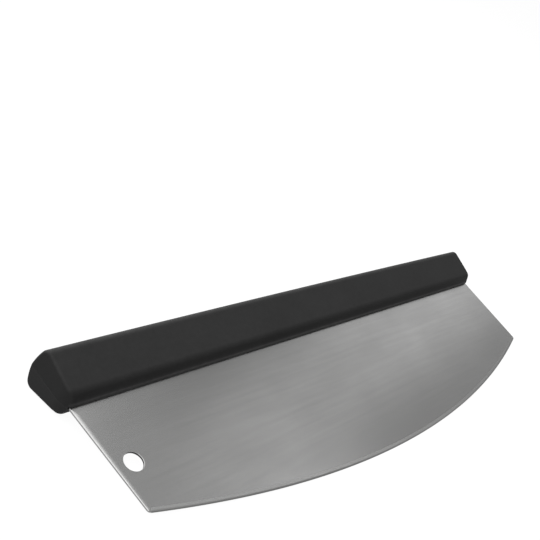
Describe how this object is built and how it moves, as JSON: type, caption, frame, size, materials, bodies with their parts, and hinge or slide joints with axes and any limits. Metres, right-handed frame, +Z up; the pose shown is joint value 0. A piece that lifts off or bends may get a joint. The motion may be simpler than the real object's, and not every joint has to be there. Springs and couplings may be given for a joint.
{
  "type": "rocking pizza cutter",
  "caption": "Rocking pizza cutter: a thin steel blade with a long curved edge and a hanging hole, held by its tang in a full-length two-part moulded bar handle.",
  "frame": {"origin": "on the surface that the cutter lies on, under the middle of its box", "axes": "+X along the handle, away from the end with the hanging hole; -Y from the handle towards the cutting edge; +Z up from the surface"},
  "size_m": [0.364, 0.1016, 0.0224],
  "materials": {
    "blade_steel": "stainless sheet, finely brushed along the handle, with a narrow ground strip at the cutting edge",
    "black_resin": "black moulded resin with a fine matt texture",
    "pin_steel": "plain drawn steel"
  },
  "bodies": {
    "root": {"blade": "blade_steel", "handle_front_half": "black_resin", "handle_back_half": "black_resin", "tang_pin_1": "pin_steel", "tang_pin_2": "pin_steel", "tang_pin_3": "pin_steel", "tang_pin_4": "pin_steel", "tang_pin_5": "pin_steel"}
  },
  "joints": []
}
